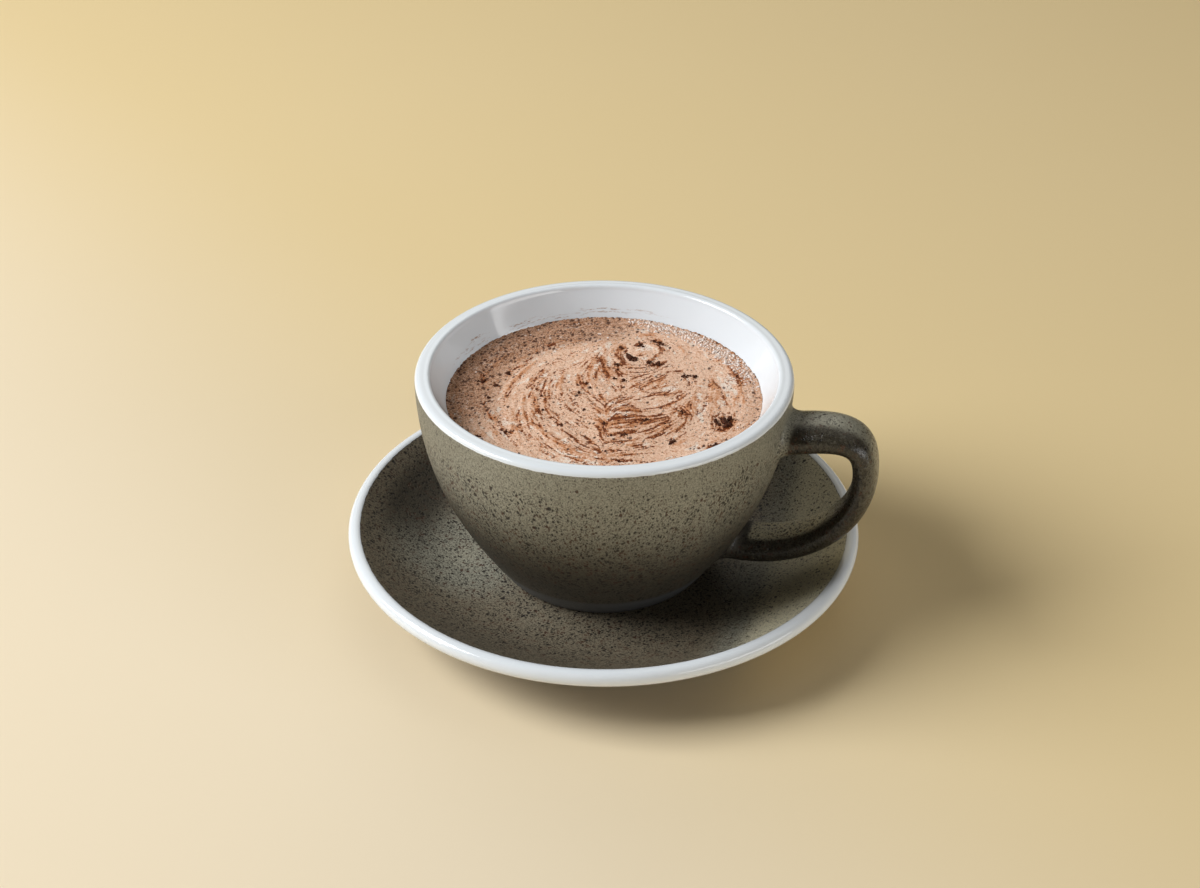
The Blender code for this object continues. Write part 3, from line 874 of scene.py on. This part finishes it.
def foam_paint(place):
    marks = {}
    for mark in ("streak", "tan", "pale", "froth_and_shade"):
        marks[mark] = place.node("ShaderNodeAttribute", {"attribute_name": mark}, {}, "Fac")
    froth_and_shade = marks["froth_and_shade"]
    loose = place.shaken(0.7 * MM, 0.4 * MM)
    fuzz = place.noise(0.75 * MM, 3.0, 0.7)
    uneven = fuzz - 0.5
    fine = powder(loose, 0.36 * MM)
    coarse = powder(loose, 0.60 * MM)

    # The foam turns tan near the lines, pale in flecks, and brown with bubbles at the left and the edge; at
    # the left the brown is also painted shade from the cup's wall.
    toasted = (marks["tan"] + uneven * 3.2 + (fine - 0.5) * 0.6).step(-0.1, 1.0)
    colour = toasted.between(FOAM_CREAM, FOAM_TAN)
    milky = (marks["pale"] - uneven * 1.5 - fine * 0.4).step(0.0, 0.8)
    colour = milky.between(colour, FOAM_PALE)
    freckles = (0.22 + marks["tan"] * 0.35 + uneven * 1.2 - fine).step(-0.1, 0.1)
    colour = (freckles * 0.48).between(colour, FOAM_TAN)
    colour = (froth_and_shade * (0.1 + fine * 0.9 + fuzz * 0.3)).between(colour, FROTH_AND_SHADE_BROWN)

    # The cocoa lies on the foam as a fine powder, darker where it is thick.
    thin = (marks["streak"] * 1.1 + uneven * 0.8 - fine).step(-0.12, 0.12)
    colour = (thin * 0.85).between(colour, COCOA_STREAK)
    thick = (marks["streak"] * 1.15 + uneven * 0.6 - coarse - 0.3).step(-0.06, 0.06)
    colour = (thick * 0.9).between(colour, COCOA_DARK)

    # Bubbles stand up, so their hollows are longer towards the back than they are wide. The hollows are
    # painted dark as painted shade.
    hollows = loose.vector("MULTIPLY", {1: BUBBLE_SQUEEZE})
    pits = hollows.spots(1.1 * MM, 0.40, froth_and_shade * 0.9 + 0.06)
    pinholes = hollows.spots(0.6 * MM, 0.40, froth_and_shade * 0.6 + 0.14)
    colour = (pits * 0.9).between(colour, PAINTED_SHADE_PIT)
    colour = (pinholes * 0.8).between(colour, PAINTED_SHADE_PIT)
    roughness = 0.5 + fine * 0.2
    relief = uneven * 0.35 + fine * 0.06 + coarse * 0.04 - pits * 0.15 - pinholes * 0.06
    return colour, roughness, relief


foam_mesh = bpy.data.meshes.new("mocha")
foam_mesh.from_pydata(foam_spots.tolist(), [], foam_faces)
foam_marks = {"streak": streak, "tan": tan, "pale": pale, "froth_and_shade": froth_and_shade,
              "dusted": dusted, "bubbly": bubbly}
for mark, field in foam_marks.items():
    attribute = foam_mesh.attributes.new(mark, "FLOAT", "POINT")
    values = np.zeros(len(foam_spots), np.float32)
    values[:len(top_x)] = on_top(field)
    attribute.data.foreach_set("value", values)
foam_mesh.shade_smooth()
foam_mesh.materials.append(finish("mocha_foam", foam_paint, FOAM_SHINE))
mocha = placed("mocha", foam_mesh)
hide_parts("drink")
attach(mocha, "root")

# ---------------------------------------------------------------------------
# Cocoa clumps
# Damp lumps of cocoa powder, crumbly and nearly black, that fell on the foam and
# stuck to it. Each one is a torn ball pressed flat and sunk a little way in.
# ---------------------------------------------------------------------------
CLUMP_FLATNESS = 0.7
CLUMP_DEPTH = 0.8
CLUMP_RISE = 0.18
CLUMP_HEART = 0.7
CRUMB_HEART = 0.85
CRUMB_SPREAD = 0.8
KNOBS = 6
KNOB_PULL = 1.7
FULL_TURN = 6.28
COCOA_LUMP = (0.040, 0.013, 0.007, 1)
COCOA_LUMP_PALE = (0.17, 0.052, 0.022, 1)
COCOA_SHINE = 0.15


def cocoa_paint(place):
    crumbly = place.noise(0.35 * MM, 3.0, 0.7)
    colour = crumbly.step(0.4, 0.7).between(COCOA_LUMP, COCOA_LUMP_PALE)
    return colour, 0.5 + crumbly * 0.4, crumbly * 0.2


def lump(work, x, y, half, rise):
    """One torn lump: a ball pulled out into a few knobs and pressed flat."""
    ball = bmesh.ops.create_icosphere(work, subdivisions=2, radius=half * MM)["verts"]
    knobs = [(Vector(chance.normal(size=3)).normalized(), chance.uniform(0.1, 0.6)) for _ in range(KNOBS)]
    spin = Matrix.Rotation(chance.uniform(0, FULL_TURN), 3, "Z")
    for vert in ball:
        way = vert.co.normalized()
        bulge = 0.72 + sum(height * max(0, way.dot(knob) - 0.5) for knob, height in knobs) * KNOB_PULL
        bulge += chance.uniform(-0.07, 0.07)
        flat = Vector((vert.co.x, vert.co.y * CLUMP_DEPTH, vert.co.z * CLUMP_FLATNESS)) * bulge
        vert.co = spin @ flat + Vector((x * MM + AXIS_X, y * MM, FOAM_Z + rise * MM))


work = bmesh.new()
for x, y, half in CLUMPS:
    lump(work, x, y, half * CLUMP_HEART, CLUMP_RISE * half)
    for _ in range(4 + int(3 * half)):
        angle, reach = chance.uniform(0, FULL_TURN), half * chance.uniform(0.6, 1.4)
        crumb_x, crumb_y = x + reach * math.cos(angle), y + reach * math.sin(angle)
        lump(work, crumb_x, crumb_y, half * chance.uniform(0.2, 0.5), 0.1)
for x, y, half in CRUMBS:
    lump(work, x, y, half * CRUMB_HEART, CLUMP_RISE * half)
    beside_x, beside_y = (along + chance.uniform(-CRUMB_SPREAD, CRUMB_SPREAD) for along in (x, y))
    lump(work, beside_x, beside_y, half * 0.5, 0.05)
cocoa_finish = finish("cocoa_lump", cocoa_paint, COCOA_SHINE)
clumps = finished("cocoa_clumps", work, cocoa_finish)
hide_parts("drink")
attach(clumps, "root")

# ---------------------------------------------------------------------------
# Cocoa dust and bubbles
# Loose grains of cocoa along the foam's lines, and open bubbles of milk that stand
# on the foam at its edge. Both are scattered over the mocha's own surface.
# ---------------------------------------------------------------------------
GRAIN_TURN = (0.3, 0.3, FULL_TURN)
BUBBLE_TAN = (0.74, 0.52, 0.40, 1)
BUBBLE_PALE = (0.90, 0.80, 0.74, 1)


def scatter_tree(name):
    """Nodes that scatter small round grains over a surface, more of them where a mark on it is high."""
    tree = bpy.data.node_groups.new(name, "GeometryNodeTree")
    inputs = {"Geometry": ["Geometry"], "Float": ["Density", "Smallest", "Largest", "Height"],
              "String": ["Mark"], "Int": ["Seed", "Sides", "Rings"], "Material": ["Material"]}
    for kind, titles in inputs.items():
        for title in titles:
            tree.interface.new_socket(title, in_out="INPUT", socket_type="NodeSocket" + kind)
    tree.interface.new_socket("Geometry", in_out="OUTPUT", socket_type="NodeSocketGeometry")

    surface = Value(tree.nodes.new("NodeGroupInput").outputs["Geometry"])
    mark = surface.node("GeometryNodeInputNamedAttribute", {"data_type": "FLOAT"},
                        {"Name": surface.also("Mark")}, "Attribute")
    points = surface.node("GeometryNodeDistributePointsOnFaces", {"distribute_method": "RANDOM"},
                          {"Mesh": surface, "Density": mark * surface.also("Density"),
                           "Seed": surface.also("Seed")}, "Points")
    ball = surface.node("GeometryNodeMeshUVSphere", {},
                        {"Segments": surface.also("Sides"), "Rings": surface.also("Rings"), "Radius": 1.0})
    girth = surface.node("FunctionNodeRandomValue", {"data_type": "FLOAT"},
                         {2: surface.also("Smallest"), 3: surface.also("Largest"),
                          "Seed": surface.also("Seed")}, 1)
    size = girth.node("ShaderNodeCombineXYZ", {}, {0: girth, 1: girth, 2: girth * surface.also("Height")})
    turn = surface.node("FunctionNodeRandomValue", {"data_type": "FLOAT_VECTOR"},
                        {0: (0, 0, 0), 1: GRAIN_TURN, "Seed": 5})
    grains = points.node("GeometryNodeInstanceOnPoints", {},
                         {"Points": points, "Instance": ball, "Rotation": turn, "Scale": size})
    grains = grains.node("GeometryNodeRealizeInstances", {}, {"Geometry": grains})
    grains = grains.node("GeometryNodeSetShadeSmooth", {}, {"Geometry": grains})
    grains = grains.node("GeometryNodeSetMaterial", {},
                         {"Geometry": grains, "Material": surface.also("Material")})
    tree.links.new(grains.socket, tree.nodes.new("NodeGroupOutput").inputs["Geometry"])
    return tree


def scattered(name, settings):
    """A piece made by the scatter nodes over the foam's top, as one plain mesh."""
    base = placed(name + "_base", foam_mesh)
    modifier = base.modifiers.new("scatter", "NODES")
    modifier.node_group = scatter
    for socket in scatter.interface.items_tree:
        if socket.in_out == "INPUT" and socket.name in settings:
            modifier[socket.identifier] = settings[socket.name]
    shape = base.evaluated_get(bpy.context.evaluated_depsgraph_get())
    mesh = bpy.data.meshes.new_from_object(shape)
    base.modifiers.remove(modifier)
    bpy.data.objects.remove(base)
    mesh.name = name
    piece = placed(name, mesh)
    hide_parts("drink")
    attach(piece, "root")


def bubble_paint(place):
    tint = place.noise(1.2 * MM)
    colour = tint.step(0.4, 0.6).between(BUBBLE_TAN, BUBBLE_PALE)
    return colour, 0.08 + tint * 0.1, tint * 0.02


scatter = scatter_tree("scatter")
scattered("cocoa_dust", {
    "Density": 3.2e6, "Smallest": 0.07 * MM, "Largest": 0.20 * MM, "Height": 0.7, "Mark": "dusted",
    "Seed": 11, "Sides": 5, "Rings": 3, "Material": cocoa_finish})
scattered("foam_bubbles", {
    "Density": 3.6e6, "Smallest": 0.14 * MM, "Largest": 0.48 * MM, "Height": 0.8, "Mark": "bubbly",
    "Seed": 12, "Sides": 8, "Rings": 5, "Material": finish("milk_bubble", bubble_paint)})

# ---------------------------------------------------------------------------
# Table, light and view
# A plain pale table top, a large soft light from the left, three weak ones from
# the back, above and the right, and a camera that looks down on the cup.
# ---------------------------------------------------------------------------
TABLE_SIZE = 30.0
TABLE_PALE = (0.90, 0.76, 0.55, 1)
TABLE_YELLOW = (0.86, 0.67, 0.36, 1)
ROOM_GLOW = (1.0, 0.93, 0.80, 1)
ROOM_STRENGTH = 0.03
CAMERA_PLACE = Vector((0.12494, -0.47881, 0.36722))
CAMERA_AIM = Vector((-0.00338, 0, 0.04617))
CAMERA_ROLL = math.radians(0.28)
CAMERA_LENS = 59.41


def table_paint(place):
    x, y, _ = place.parts()
    weave = place.noise(0.5 * MM)
    drift = place.noise(300 * MM) - 0.5
    # The table is painted paler towards the front left, where more light falls, as painted light.
    lit_front_left = (-0.55 * x - 0.83 * y).step(-100 * MM, 150 * MM)
    colour = (lit_front_left + drift * 0.2 + weave * 0.05).between(TABLE_YELLOW, TABLE_PALE)
    return colour, 0.6 + weave * 0.1, weave * 0.01


work = bmesh.new()
bmesh.ops.create_grid(work, x_segments=2, y_segments=2, size=TABLE_SIZE / 2)
table = finished("table_top", work, finish("table_paint", table_paint))


def soft_light(name, towards, away, width, height, power, colour):
    """A soft box that shines on the cup from the direction towards it."""
    lamp = bpy.data.lights.new(name, "AREA")
    lamp.shape = "RECTANGLE"
    lamp.size = width
    lamp.size_y = height
    lamp.energy = power
    lamp.color = colour
    light = placed(name, lamp)
    direction = Vector(towards).normalized()
    light.location = CAMERA_AIM + direction * away
    light.rotation_euler = direction.to_track_quat("Z", "Y").to_euler()


# Each light: the direction towards it, its distance, width and height in metres, its watts and its colour.
soft_light("key_light", (-0.755, -0.235, 0.612), 1.7, 1.0, 0.9, 34, (0.98, 1.0, 1.01))
soft_light("back_light", (-0.28, 0.75, 0.60), 2.6, 2.0, 1.6, 8, (1.0, 0.95, 0.82))
soft_light("top_light", (0.30, 0.35, 0.89), 2.0, 1.6, 1.4, 3, (1.0, 0.96, 0.87))
soft_light("fill_light", (0.915, -0.34, 0.215), 1.8, 1.7, 0.45, 11.5, (0.99, 1.0, 1.0))

world = bpy.data.worlds.new("studio")
world.use_nodes = True
backdrop = world.node_tree.nodes["Background"]
backdrop.inputs["Color"].default_value = ROOM_GLOW
backdrop.inputs["Strength"].default_value = ROOM_STRENGTH
bpy.context.scene.world = world
bpy.context.scene.view_settings.view_transform = "Standard"

lens = bpy.data.cameras.new("view")
lens.lens = CAMERA_LENS
lens.sensor_width = 36
camera = placed("view", lens)
facing = (CAMERA_PLACE - CAMERA_AIM).to_track_quat("Z", "Y").to_matrix().to_4x4()
camera.matrix_world = Matrix.Translation(CAMERA_PLACE) @ facing @ Matrix.Rotation(CAMERA_ROLL, 4, "Z")
bpy.context.scene.camera = camera
